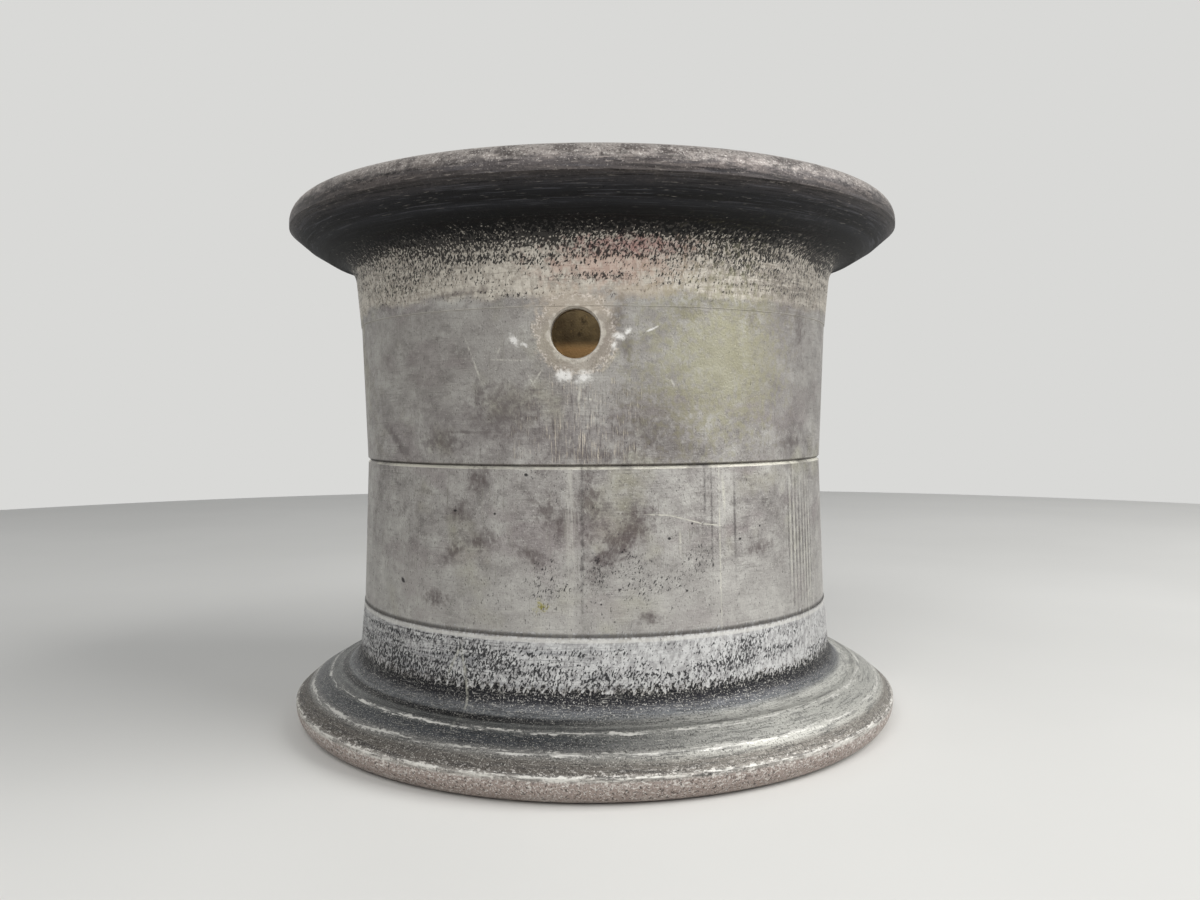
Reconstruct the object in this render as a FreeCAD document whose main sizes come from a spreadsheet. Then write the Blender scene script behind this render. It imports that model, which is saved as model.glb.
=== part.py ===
import FreeCAD, Part
import math
import os
import Sketcher

# A split aircraft wheel, standing on the flange of its inboard half, axle upright.
# Every piece of one side is drawn in a frame whose z is the depth below that side's
# outer plane, so the two sides share their sketches and only their Placements differ.

# ---------------------------------------------------------------- driving dimensions
DIMENSIONS = [
    # rim contour of a six inch, tube type aircraft wheel
    ("overall_width", 158.0, "lip to lip"),
    ("between_flanges", 127.0, "clear width for the tyre beads"),
    ("parting_height", 80.4, "joint of the two halves above the inboard lip"),
    ("rim_radius", 76.2, "where the bead seat line meets the flange plane"),
    ("flange_radius", 95.25, "outside of the lip"),
    ("lip_radius", 6.3, "outer rounding of the lip"),
    ("lip_edge_rise", 7.9, "where the lip turns into the flange face, above the flange plane"),
    ("lip_land", 3.0, "flat ring that the wheel stands on"),
    ("lip_inner_radius", 1.5, "inner rounding of the lip"),
    ("knee_inset", 4.95, "from the lip in to where the flange face changes slope"),
    ("knee_rise", 3.7, "that place above the flange plane"),
    ("crest_offset", 8.75, "ring bead on the flange face, outside the rim line"),
    ("crest_rise", 0.55, "top of the bead above the flange plane"),
    ("crest_width", 1.0, "foot of the bead to its top"),
    ("heel_radius", 8.0, "fillet between bead seat and flange"),
    ("seat_angle", 5.0, "taper of the bead seat"),
    ("seat_width", 21.1, "bead seat, from the flange plane"),
    ("seat_step", 0.2, "machined seat stands proud of the cast barrel"),
    ("barrel_draft", 2.0, "taper of the barrel towards the joint"),
    ("joint_chamfer", 0.7, "broken edge of each half at the joint"),
    # casting, inside
    ("flange_back_inset", 13.75, "from the lip in to the outer edge of the flange's back"),
    ("flange_thickness", 9.0, "flange at that edge"),
    ("seat_wall", 6.7, "wall under the bead seat, from the rim line"),
    ("mouth_thickness", 6.5, "flange at the mouth of the dish"),
    ("dish_fillet", 6.0, "rounding of that mouth"),
    ("dish_draft", 2.5, "taper of the barrel's inner wall"),
    ("web_thickness", 9.0, "web of one half"),
    ("web_fillet", 6.0, "fillets of the web into hub and barrel"),
    ("hub_recess", 16.0, "end of the hub below the lip"),
    ("hub_end_radius", 36.8, "hub outside at its end"),
    ("hub_root_radius", 40.0, "hub outside at the web"),
    ("hub_edge", 1.5, "rounding of the hub's end"),
    ("hub_passage_radius", 24.6, "passage between the two bearings"),
    ("pilot_radius", 32.0, "register of one half in the other"),
    ("pilot_height", 2.5, "height of the register"),
    ("pilot_clearance", 0.05, "radial play of the register"),
    ("rib_count", 3, "ribs of one half"),
    ("rib_thickness", 6.0, "thickness of a rib"),
    ("rib_hub_height", 24.0, "rib above the web at the hub"),
    ("rib_rim_height", 12.0, "rib above the web at the barrel"),
    ("window_count", 6, "lightening windows of the web"),
    ("window_width", 16.0, "radial width of a window"),
    ("window_spread", 6.5, "half angle between the centres of its round ends"),
    ("valve_hole_radius", 6.4, "hole for the tube's valve stem"),
    ("valve_hole_depth", 43.5, "its height below the outboard lip"),
    ("valve_hole_chamfer", 0.5, "broken edge of the valve hole"),
    # tie bolts
    ("bolt_count", 3, "tie bolts"),
    ("bolt_circle_radius", 51.0, "circle of the tie bolts"),
    ("bolt_radius", 3.95, "shank"),
    ("bolt_clearance", 0.15, "radial play of the shank in its holes"),
    ("boss_radius", 9.5, "boss and spot face round a bolt"),
    ("boss_height", 14.0, "boss, from the joint"),
    ("spanner_room", 30.0, "depth of the cut above a boss"),
    ("hexagon_width", 12.7, "across the flats of bolt head and nut"),
    ("bolt_head_height", 5.0, "bolt head"),
    ("hexagon_chamfer_angle", 30.0, "slope of the chamfered corners of head and nut"),
    ("washer_radius", 7.1, "outside of a washer"),
    ("washer_thickness", 1.6, "washer"),
    ("nut_height", 5.4, "hexagon of the locking nut"),
    ("nut_collar_height", 2.6, "round locking collar of the nut"),
    ("nut_collar_radius", 5.3, "outside of that collar"),
    ("thread_play", 0.05, "radial play of the nut on its thread"),
    ("thread_end", 2.2, "bolt end that shows past the nut"),
    ("thread_chamfer", 0.7, "broken edge of the bolt's end"),
    # tapered roller bearings
    ("axle_radius", 15.875, "bore of the bearing cone"),
    ("cup_radius", 29.5655, "outside of the bearing cup"),
    ("cup_width", 11.811, "width of the cup"),
    ("cup_fit", 0.01, "radial allowance of the cup in the hub"),
    ("cup_mouth_radius", 27.6, "race of the cup at its thin end"),
    ("cup_race_angle", 15.0, "half angle of the cup's race"),
    ("roller_half_angle", 2.0, "half angle of a roller"),
    ("roller_length", 10.5, "length of a roller"),
    ("roller_inset", 0.8, "large end of a roller inside the cup's thin end"),
    ("roller_play", 0.035, "running clearance of a roller on a race"),
    ("roller_end_play", 0.06, "running clearance of its ends"),
    ("roller_count", 16, "rollers of one bearing"),
    ("bearing_width", 15.875, "back of the cup to back of the cone"),
    ("cone_width", 16.764, "length of the cone"),
    ("cone_rib_radius", 22.4, "rib that guides the rollers' large ends"),
    ("cone_small_rib", 0.8, "height of the retaining rib at the small ends"),
    ("cone_chamfer", 0.8, "edges of the cone"),
    ("cup_chamfer", 0.8, "edges of the cup"),
    ("cage_gap", 0.45, "cage to the cup's race"),
    ("cage_thickness", 1.1, "pressed steel of the cage"),
    ("cage_overhang", 1.0, "cage past the cup's thin end"),
    ("cage_tail", 1.4, "cage past the cup's thick end"),
    ("cage_bore_radius", 20.1, "inner edge of the cage's small end"),
    ("pocket_play", 0.12, "play of a roller in its pocket"),
    # grease seals
    ("seal_gap", 0.7, "cone to the inner retainer"),
    ("seal_seat_radius", 31.2, "counterbore for the seal"),
    ("seal_play", 0.1, "radial play of the retainers in it"),
    ("retainer_thickness", 1.2, "pressed retainer ring"),
    ("retainer_bore_radius", 17.4, "bore of the retainers"),
    ("felt_thickness", 6.0, "felt ring"),
    ("felt_bore_radius", 16.6, "bore of the felt"),
    ("snap_ring_thickness", 1.6, "retaining ring"),
    ("snap_ring_play", 0.05, "play on each side of the ring"),
    ("snap_groove_depth", 1.1, "groove for the ring"),
    ("snap_ring_fit", 0.1, "ring to the bottom of its groove"),
    ("snap_ring_width", 3.2, "radial width of the ring"),
    ("snap_ring_opening", 13.0, "gap between its ends"),
    ("snap_lug_radius", 2.9, "lugs at its ends"),
    ("snap_lug_hole", 1.1, "pliers holes in the lugs"),
    ("hub_mouth", 2.4, "hub end to the snap ring's groove"),
    ("mouth_chamfer", 0.8, "broken edge of the hub's mouth"),
]

# ------------------------------------------------ places that follow from those sizes
DERIVED = [
    ("flange_depth", "(Dims.overall_width - Dims.between_flanges) / 2"),
    ("knee_depth", "flange_depth - Dims.knee_rise"),
    ("crest_radius", "Dims.rim_radius + Dims.crest_offset"),
    ("dish_radius", "Dims.rim_radius - Dims.seat_wall"),
    ("dish_depth", "flange_depth - Dims.mouth_thickness"),
    ("seat_end_depth", "flange_depth + Dims.seat_width"),
    ("seat_end_radius", "Dims.rim_radius - Dims.seat_width * tan(Dims.seat_angle)"),
    ("barrel_radius", "seat_end_radius - Dims.seat_step"),
    ("inboard_joint", "Dims.parting_height"),
    ("outboard_joint", "Dims.overall_width - Dims.parting_height"),
    ("groove_depth", "Dims.hub_recess + Dims.hub_mouth"),
    ("snap_ring_depth", "groove_depth + Dims.snap_ring_play"),
    ("outer_retainer_depth", "snap_ring_depth + Dims.snap_ring_thickness"),
    ("groove_end_depth", "outer_retainer_depth + Dims.snap_ring_play"),
    ("felt_depth", "outer_retainer_depth + Dims.retainer_thickness"),
    ("inner_retainer_depth", "felt_depth + Dims.felt_thickness"),
    ("seal_shoulder_depth", "inner_retainer_depth + Dims.retainer_thickness"),
    ("cone_back_depth", "seal_shoulder_depth + Dims.seal_gap"),
    ("cone_front_depth", "cone_back_depth + Dims.cone_width"),
    ("cup_back_depth", "cone_back_depth + Dims.bearing_width"),
    ("cup_front_depth", "cup_back_depth - Dims.cup_width"),
    ("apex_depth", "cup_front_depth + Dims.cup_mouth_radius / tan(Dims.cup_race_angle)"),
    ("roller_angle", "Dims.cup_race_angle - Dims.roller_half_angle"),
    ("cone_race_angle", "Dims.cup_race_angle - 2 * Dims.roller_half_angle"),
    ("roller_far", "(apex_depth - cup_front_depth - Dims.roller_inset) / cos(roller_angle)"),
    ("roller_near", "roller_far - Dims.roller_length"),
    ("rib_reach", "(roller_far + Dims.roller_end_play) / cos(Dims.roller_half_angle)"),
    ("rib_foot_radius", "rib_reach * sin(cone_race_angle)"),
    ("rib_foot_depth", "apex_depth - rib_reach * cos(cone_race_angle)"),
    ("rib_top_depth", "rib_foot_depth + (Dims.cone_rib_radius - rib_foot_radius) * tan(roller_angle)"),
    ("small_rib_reach", "(roller_near - Dims.roller_end_play) / cos(Dims.roller_half_angle)"),
    ("small_rib_foot_radius", "small_rib_reach * sin(cone_race_angle)"),
    ("small_rib_foot_depth", "apex_depth - small_rib_reach * cos(cone_race_angle)"),
    ("small_rib_radius", "small_rib_foot_radius + Dims.cone_small_rib"),
    ("small_rib_top_depth", "small_rib_foot_depth + Dims.cone_small_rib * tan(roller_angle)"),
    ("pocket_far", "roller_far + Dims.roller_end_play + Dims.pocket_play"),
    ("pocket_near", "roller_near - Dims.roller_end_play - Dims.pocket_play"),
    ("snap_ring_radius", "Dims.seal_seat_radius + Dims.snap_groove_depth - Dims.snap_ring_fit"),
    ("snap_ring_bore", "snap_ring_radius - Dims.snap_ring_width"),
    ("snap_lug_across", "(Dims.snap_ring_opening + Dims.snap_lug_radius) / 2"),
    ("cage_front_depth", "cup_front_depth - Dims.cage_overhang"),
    ("cage_back_depth", "cup_back_depth + Dims.cage_tail"),
    ("inboard_boss_depth", "inboard_joint - Dims.boss_height"),
    ("outboard_boss_depth", "outboard_joint - Dims.boss_height"),
    ("bolt_hole_radius", "Dims.bolt_radius + Dims.bolt_clearance"),
    ("head_height", "inboard_boss_depth - Dims.washer_thickness"),
    ("outboard_boss_height", "Dims.overall_width - outboard_boss_depth"),
    ("nut_seat_height", "outboard_boss_height + Dims.washer_thickness"),
    ("nut_top_height", "nut_seat_height + Dims.nut_height + Dims.nut_collar_height"),
]

doc = FreeCAD.newDocument("aircraft_wheel")

dims = doc.addObject("Spreadsheet::Sheet", "Dims")
for row, (alias, value, meaning) in enumerate(DIMENSIONS, start=1):
    dims.set("A%d" % row, meaning)
    dims.set("B%d" % row, str(value))
    dims.setAlias("B%d" % row, alias)

places = doc.addObject("Spreadsheet::Sheet", "Places")
for row, (alias, formula) in enumerate(DERIVED, start=1):
    places.set("A%d" % row, "=" + formula)
    places.setAlias("A%d" % row, alias)
doc.recompute()


def number(expression):
    """The value of an expression on the two sheets."""
    found = dims.evalExpression(expression)
    return float(getattr(found, "Value", found))


# ------------------------------------------------------------------- sketch helpers
def origin_feature(body, role):
    """One plane or axis of a body's own origin."""
    return next(item for item in body.Origin.OriginFeatures if item.Role == role)


def new_body(label):
    body = doc.addObject("PartDesign::Body", label)
    body.Label = label
    body.AllowCompound = True
    return body


def new_sketch(body, name, plane):
    sketch = body.newObject("Sketcher::SketchObject", name)
    sketch.AttachmentSupport = (origin_feature(body, plane), [""])
    sketch.MapMode = "FlatFace"
    return sketch


def bind(sketch, constraint, name, expression):
    """Add a dimension to a sketch and bind it to the sheets."""
    index = sketch.addConstraint(constraint)
    sketch.renameConstraint(index, name)
    sketch.setExpression("Constraints." + name, expression)


def place_point(sketch, geometry, position, name, across, up):
    bind(sketch, Sketcher.Constraint("DistanceX", -1, 1, geometry, position, number(across)),
         name + "_x", across)
    bind(sketch, Sketcher.Constraint("DistanceY", -1, 1, geometry, position, number(up)),
         name + "_y", up)


def rounding(before, corner, after, radius):
    """Start, middle and end of the arc that rounds a corner between two straight runs."""
    back = (before - corner).normalize()
    ahead = (after - corner).normalize()
    half = back.getAngle(ahead) / 2
    reach = radius / math.tan(half)
    bisector = (back + ahead).normalize()
    centre = corner + bisector * (radius / math.sin(half))
    return corner + back * reach, centre - bisector * radius, corner + ahead * reach


def outline(sketch, corners):
    """A closed outline: each corner is two bound places and, if it is rounded, a bound radius."""
    points = [FreeCAD.Vector(number(c[0]), number(c[1]), 0) for c in corners]
    count = len(points)
    arcs = []
    for i, corner in enumerate(corners):
        if len(corner) > 2:
            arcs.append(rounding(points[i - 1], points[i], points[(i + 1) % count], number(corner[2])))
        else:
            arcs.append(None)
    lines = []
    for i in range(count):
        j = (i + 1) % count
        start = arcs[i][2] if arcs[i] else points[i]
        end = arcs[j][0] if arcs[j] else points[j]
        lines.append(sketch.addGeometry(Part.LineSegment(start, end), False))
    for i, corner in enumerate(corners):
        name = "p%d" % i
        if arcs[i] is None:
            sketch.addConstraint(Sketcher.Constraint("Coincident", lines[i - 1], 2, lines[i], 1))
            place_point(sketch, lines[i], 1, name, corner[0], corner[1])
            continue
        arc = sketch.addGeometry(Part.Arc(*arcs[i]), False)
        middle = sketch.addGeometry(Part.Point(points[i]), True)
        place_point(sketch, middle, 1, name, corner[0], corner[1])
        sketch.addConstraint(Sketcher.Constraint("PointOnObject", middle, 1, lines[i - 1]))
        sketch.addConstraint(Sketcher.Constraint("PointOnObject", middle, 1, lines[i]))
        first = arc_end_near(sketch, arc, arcs[i][0])
        sketch.addConstraint(Sketcher.Constraint("Tangent", lines[i - 1], 2, arc, first))
        sketch.addConstraint(Sketcher.Constraint("Tangent", lines[i], 1, arc, 3 - first))
        bind(sketch, Sketcher.Constraint("Radius", arc, number(corner[2])), name + "_r", corner[2])


def arc_end_near(sketch, arc, point):
    """Which end of an arc, 1 or 2, lies at a point."""
    return 1 if (sketch.getPoint(arc, 1) - point).Length < (sketch.getPoint(arc, 2) - point).Length else 2


def axis_line(sketch, start, end):
    """A construction line that a feature turns about, its ends bound to the sheets."""
    points = [FreeCAD.Vector(number(p[0]), number(p[1]), 0) for p in (start, end)]
    line = sketch.addGeometry(Part.LineSegment(*points), True)
    place_point(sketch, line, 1, "axis_start", *start)
    place_point(sketch, line, 2, "axis_end", *end)
    return (sketch, ["Axis0"])


def circle(sketch, name, across, up, radius):
    centre = FreeCAD.Vector(number(across), number(up), 0)
    ring = sketch.addGeometry(Part.Circle(centre, FreeCAD.Vector(0, 0, 1), number(radius)), False)
    place_point(sketch, ring, 3, name, across, up)
    bind(sketch, Sketcher.Constraint("Radius", ring, number(radius)), name + "_r", radius)


# ------------------------------------------------------------------ feature helpers
def finished(body, feature):
    """Make a feature the body's tip and stop if it is broken."""
    body.Tip = feature
    doc.recompute()
    if feature.Shape.isNull() or not feature.Shape.isValid():
        raise RuntimeError("%s of %s has no valid shape" % (feature.Name, body.Label))
    return feature


def turned(body, kind, name, sketch, axis):
    """A full turn of a sketch: kind is Revolution or Groove."""
    feature = body.newObject("PartDesign::" + kind, name)
    feature.Profile = sketch
    feature.ReferenceAxis = axis
    feature.Angle = 360
    return finished(body, feature)


def extruded(body, kind, name, sketch, length, middle=False, back=False):
    """A sketch pushed through a length: kind is Pad or Pocket."""
    feature = body.newObject("PartDesign::" + kind, name)
    feature.Profile = sketch
    feature.setExpression("Length", length)
    feature.SideType = "Symmetric" if middle else "One side"
    feature.Reversed = back
    return finished(body, feature)


def around_axle(body, name, features, count):
    """Repeat features round the wheel's axis."""
    pattern = body.newObject("PartDesign::PolarPattern", name)
    pattern.Originals = features
    pattern.Axis = (origin_feature(body, "Z_Axis"), [""])
    pattern.Angle = 360
    pattern.setExpression("Occurrences", count)
    for feature in features:
        feature.Visibility = False
    return finished(body, pattern)


def turned_piece(label, corners):
    """A piece turned about the axle: its section is a closed outline of radius and depth."""
    body = new_body(label)
    sketch = new_sketch(body, label + "_section", "XZ_Plane")
    outline(sketch, corners)
    turned(body, "Revolution", label + "_turned", sketch, (sketch, ["V_Axis"]))
    return body


SIDES = ("inboard", "outboard")


def side_placement(side):
    """Depths below a side's outer plane: upwards inboard, downwards outboard."""
    if side == "inboard":
        return FreeCAD.Placement()
    turn = FreeCAD.Rotation(FreeCAD.Vector(1, 0, 0), 180)
    return FreeCAD.Placement(FreeCAD.Vector(0, 0, number("Dims.overall_width")), turn)


def seat(piece, side):
    """Put a piece drawn in those depths where its side is."""
    if side == "outboard":
        piece.Placement = side_placement(side)
        piece.setExpression("Placement.Base.z", "Dims.overall_width")


# ----------------------------------------------------------------------- wheel halves
def barrel_at(depth):
    """Outside of the barrel at a depth past the bead seat."""
    return "Places.barrel_radius - (%s - Places.seat_end_depth) * tan(Dims.barrel_draft)" % depth


def half_section(side):
    joint = "Places.%s_joint" % side
    chamfer_depth = "%s - Dims.joint_chamfer" % joint
    web = "%s - Dims.web_thickness" % joint
    rim = [
        ("Dims.flange_radius - Dims.lip_radius - Dims.lip_land", "0", "Dims.lip_inner_radius"),
        ("Dims.flange_radius", "0", "Dims.lip_radius"),
        ("Dims.flange_radius", "Places.flange_depth - Dims.lip_edge_rise"),
        ("Dims.flange_radius - Dims.knee_inset", "Places.knee_depth"),
        ("Places.crest_radius", "Places.flange_depth - Dims.crest_rise"),
        ("Places.crest_radius - Dims.crest_width", "Places.flange_depth"),
        ("Dims.rim_radius", "Places.flange_depth", "Dims.heel_radius"),
        ("Places.seat_end_radius", "Places.seat_end_depth"),
        ("Places.barrel_radius", "Places.seat_end_depth"),
        (barrel_at(chamfer_depth), chamfer_depth),
        (barrel_at(joint) + " - Dims.joint_chamfer", joint),
    ]
    if side == "inboard":
        edge = "Dims.pilot_radius"
        end = joint + " + Dims.pilot_height"
    else:
        edge = "Dims.pilot_radius + Dims.pilot_clearance"
        end = joint + " - Dims.pilot_height - Dims.pilot_clearance"
    pilot = [
        (edge, joint),
        (edge, end),
        ("Dims.hub_passage_radius", end),
    ]
    cup_seat = "Dims.cup_radius + Dims.cup_fit"
    groove = "Dims.seal_seat_radius + Dims.snap_groove_depth"
    bore = [
        ("Dims.hub_passage_radius", "Places.cup_back_depth"),
        (cup_seat, "Places.cup_back_depth"),
        (cup_seat, "Places.seal_shoulder_depth"),
        ("Dims.seal_seat_radius", "Places.seal_shoulder_depth"),
        ("Dims.seal_seat_radius", "Places.groove_end_depth"),
        (groove, "Places.groove_end_depth"),
        (groove, "Places.groove_depth"),
        ("Dims.seal_seat_radius", "Places.groove_depth"),
        ("Dims.seal_seat_radius", "Dims.hub_recess + Dims.mouth_chamfer"),
        ("Dims.seal_seat_radius + Dims.mouth_chamfer", "Dims.hub_recess"),
    ]
    dish_foot = "Places.dish_radius - (%s - Places.dish_depth) * tan(Dims.dish_draft)" % web
    dish = [
        ("Dims.hub_end_radius", "Dims.hub_recess", "Dims.hub_edge"),
        ("Dims.hub_root_radius", web, "Dims.web_fillet"),
        (dish_foot, web, "Dims.web_fillet"),
        ("Places.dish_radius", "Places.dish_depth", "Dims.dish_fillet"),
        ("Dims.flange_radius - Dims.flange_back_inset", "Places.flange_depth - Dims.flange_thickness"),
    ]
    return rim + pilot + bore + dish


def add_bosses(body, side):
    sketch = new_sketch(body, side + "_boss_outline", "XZ_Plane")
    boss = "Places.%s_boss_depth" % side
    axis = axis_line(sketch, ("Dims.bolt_circle_radius", "0"), ("Dims.bolt_circle_radius", boss))
    inside = "Places.%s_joint - Dims.web_thickness / 2" % side
    outline(sketch, [
        ("Dims.bolt_circle_radius", inside),
        ("Dims.bolt_circle_radius + Dims.boss_radius + 1", inside),
        ("Dims.bolt_circle_radius + Dims.boss_radius", boss),
        ("Dims.bolt_circle_radius", boss),
    ])
    pad = turned(body, "Revolution", side + "_boss", sketch, axis)
    around_axle(body, side + "_bosses", [pad], "Dims.bolt_count")


def add_ribs(body, side):
    """Ribs from hub to barrel, midway between the tie bolts."""
    joint = "Places.%s_joint" % side
    web = "%s - Dims.web_thickness" % joint
    inside = "%s - Dims.web_thickness / 2" % joint
    hub_end = "-(Dims.hub_root_radius + Dims.hub_passage_radius) / 2"
    rim_end = "-(Places.dish_radius + Places.barrel_radius) / 2"
    sketch = new_sketch(body, side + "_rib_outline", "XZ_Plane")
    outline(sketch, [
        (hub_end, inside),
        (rim_end, inside),
        (rim_end, web + " - Dims.rib_rim_height"),
        (hub_end, web + " - Dims.rib_hub_height"),
    ])
    pad = extruded(body, "Pad", side + "_rib", sketch, "Dims.rib_thickness", middle=True)
    around_axle(body, side + "_ribs", [pad], "Dims.rib_count")


def cut_bolt_holes(body, side):
    """Bolt hole and spot face, turned about the bolt's own axis."""
    boss = "Places.%s_boss_depth" % side
    below = "Places.%s_joint + 1" % side
    top = boss + " - Dims.spanner_room"
    sketch = new_sketch(body, side + "_bolt_hole_section", "XZ_Plane")
    axis = axis_line(sketch, ("Dims.bolt_circle_radius", "0"), ("Dims.bolt_circle_radius", boss))
    hole = "Dims.bolt_circle_radius + Places.bolt_hole_radius"
    face = "Dims.bolt_circle_radius + Dims.boss_radius"
    outline(sketch, [
        ("Dims.bolt_circle_radius", below),
        (hole, below),
        (hole, boss),
        (face, boss),
        (face, top),
        ("Dims.bolt_circle_radius", top),
    ])
    cut = turned(body, "Groove", side + "_bolt_hole", sketch, axis)
    around_axle(body, side + "_bolt_holes", [cut], "Dims.bolt_count")


def cut_windows(body, side):
    """Kidney shaped windows of the web, half way between bolts and ribs."""
    centre = FreeCAD.Vector(0, 0, 0)
    middle = math.radians(180 / number("Dims.window_count"))
    spread = math.radians(number("Dims.window_spread"))
    inner = number("Dims.bolt_circle_radius - Dims.window_width / 2")
    outer = number("Dims.bolt_circle_radius + Dims.window_width / 2")
    up = FreeCAD.Vector(0, 0, 1)
    sketch = new_sketch(body, side + "_window_outline", "XY_Plane")

    def bend(radius):
        return Part.ArcOfCircle(Part.Circle(centre, up, radius), middle - spread, middle + spread)

    def round_end(angle, start):
        radius = number("Dims.bolt_circle_radius")
        place = FreeCAD.Vector(radius * math.cos(angle), radius * math.sin(angle), 0)
        return Part.ArcOfCircle(Part.Circle(place, up, (outer - inner) / 2), start, start + math.pi)

    arcs = [bend(inner), bend(outer), round_end(middle - spread, middle - spread - math.pi),
            round_end(middle + spread, middle + spread)]
    for arc in arcs:
        sketch.addGeometry(arc, False)
    for end, first, second in ((1, 0, 1), (2, 1, 0)):
        cap = end + 1
        sketch.addConstraint(Sketcher.Constraint("Tangent", first, end, cap, 1))
        sketch.addConstraint(Sketcher.Constraint("Tangent", second, end, cap, 2))
    sketch.addConstraint(Sketcher.Constraint("Coincident", 0, 3, -1, 1))
    sketch.addConstraint(Sketcher.Constraint("Coincident", 1, 3, -1, 1))
    for edge, radius, sign, name in ((0, inner, "-", "inner"), (1, outer, "+", "outer")):
        reach = "Dims.bolt_circle_radius %s Dims.window_width / 2" % sign
        bind(sketch, Sketcher.Constraint("Radius", edge, radius), name, reach)
    for cap, sign, name in ((2, "-", "low"), (3, "+", "high")):
        level = "Dims.bolt_circle_radius * sin(180 / Dims.window_count %s Dims.window_spread)" % sign
        bind(sketch, Sketcher.Constraint("DistanceY", -1, 1, cap, 3, number(level)), name, level)
    cut = extruded(body, "Pocket", side + "_window", sketch, "Places.%s_joint + 1" % side, back=True)
    around_axle(body, side + "_windows", [cut], "Dims.window_count")


def cut_valve_hole(body):
    """Radial hole through the barrel, with broken edges inside and outside."""
    sketch = new_sketch(body, "valve_hole_section", "YZ_Plane")
    inner = "Places.dish_radius - (Dims.valve_hole_depth - Places.dish_depth) * tan(Dims.dish_draft)"
    outer = barrel_at("Dims.valve_hole_depth")
    level = "Dims.valve_hole_depth"
    edge = level + " + Dims.valve_hole_radius"
    wide = edge + " + Dims.valve_hole_chamfer"
    axis = axis_line(sketch, (inner, level), (outer, level))
    outline(sketch, [
        (inner + " - 2", level),
        (inner + " - 2", wide),
        (inner, wide),
        (inner + " + Dims.valve_hole_chamfer", edge),
        (outer + " - Dims.valve_hole_chamfer", edge),
        (outer, wide),
        (outer + " + 2", wide),
        (outer + " + 2", level),
    ])
    turned(body, "Groove", "valve_hole", sketch, axis)


def wheel_half(side):
    body = turned_piece(side + "_half", half_section(side))
    add_bosses(body, side)
    add_ribs(body, side)
    cut_bolt_holes(body, side)
    cut_windows(body, side)
    if side == "outboard":
        cut_valve_hole(body)
    return body


# -------------------------------------------------------------------------- tie bolts
def bolt_axis_section(body, name, corners):
    """A section beside the first tie bolt's axis; corners are offsets from it and heights."""
    sketch = new_sketch(body, name + "_section", "XZ_Plane")
    centre = "Dims.bolt_circle_radius"
    axis = axis_line(sketch, (centre, corners[0][1]), (centre, corners[-1][1]))
    outline(sketch, [("%s + %s" % (centre, across), height) for across, height in corners])
    return sketch, axis


def on_bolt_axis(body, kind, name, corners):
    """A round feature on the first tie bolt's axis."""
    sketch, axis = bolt_axis_section(body, name, corners)
    return turned(body, kind, name, sketch, axis)


def hexagon(body, name, low, height):
    """A hexagonal prism on the first tie bolt's axis."""
    sketch = new_sketch(body, name + "_outline", "XY_Plane")
    sketch.AttachmentOffset = FreeCAD.Placement(FreeCAD.Vector(0, 0, number(low)), FreeCAD.Rotation())
    sketch.setExpression("AttachmentOffset.Base.z", low)
    reach = "Dims.hexagon_width / 2 / cos(30)"
    corners = []
    for step in range(6):
        angle = 60 * step + 30
        corners.append(("Dims.bolt_circle_radius + %s * cos(%d)" % (reach, angle),
                        "%s * sin(%d)" % (reach, angle)))
    outline(sketch, corners)
    return extruded(body, "Pad", name, sketch, height)


def hexagon_chamfer(body, name, face, inwards):
    """Cone off the corners of a hexagon at one end face; inwards is the sign towards its middle."""
    drop = "%s Dims.hexagon_width / 2 * tan(Dims.hexagon_chamfer_angle)" % inwards
    return on_bolt_axis(body, "Groove", name, [
        ("Dims.hexagon_width / 2", face),
        ("Dims.hexagon_width", face),
        ("Dims.hexagon_width", "%s %s" % (face, drop)),
    ])


def tie_bolts():
    body = new_body("tie_bolts")
    end = "Places.nut_top_height + Dims.thread_end"
    shank = on_bolt_axis(body, "Revolution", "shank", [
        ("0", "Places.head_height"),
        ("Dims.bolt_radius", "Places.head_height"),
        ("Dims.bolt_radius", end + " - Dims.thread_chamfer"),
        ("Dims.bolt_radius - Dims.thread_chamfer", end),
        ("0", end),
    ])
    low = "Places.head_height - Dims.bolt_head_height"
    head = hexagon(body, "bolt_head", low, "Dims.bolt_head_height")
    corners = hexagon_chamfer(body, "bolt_head_corners", low, "+")
    around_axle(body, "all_tie_bolts", [shank, head, corners], "Dims.bolt_count")
    return body


def lock_nuts():
    body = new_body("lock_nuts")
    shoulder = "Places.nut_seat_height + Dims.nut_height"
    top = "Places.nut_top_height"
    sides = hexagon(body, "nut_hexagon", "Places.nut_seat_height", "Dims.nut_height")
    corners = hexagon_chamfer(body, "nut_corners", shoulder, "-")
    inside = shoulder + " - Dims.nut_height / 2"
    collar = on_bolt_axis(body, "Revolution", "nut_collar", [
        ("0", inside),
        ("Dims.nut_collar_radius", inside),
        ("Dims.nut_collar_radius", top),
        ("0", top),
    ])
    thread = "Dims.bolt_radius + Dims.thread_play"
    bore = on_bolt_axis(body, "Groove", "nut_bore", [
        ("0", "Places.nut_seat_height - 1"),
        (thread, "Places.nut_seat_height - 1"),
        (thread, top + " + 1"),
        ("0", top + " + 1"),
    ])
    around_axle(body, "all_lock_nuts", [sides, corners, collar, bore], "Dims.bolt_count")
    return body


def washers(label, low):
    """The washers under the bolt heads or under the nuts."""
    body = new_body(label)
    high = low + " + Dims.washer_thickness"
    ring = on_bolt_axis(body, "Revolution", label + "_ring", [
        ("Places.bolt_hole_radius", low),
        ("Dims.washer_radius", low),
        ("Dims.washer_radius", high),
        ("Places.bolt_hole_radius", high),
    ])
    around_axle(body, "all_" + label, [ring], "Dims.bolt_count")
    return body


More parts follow.
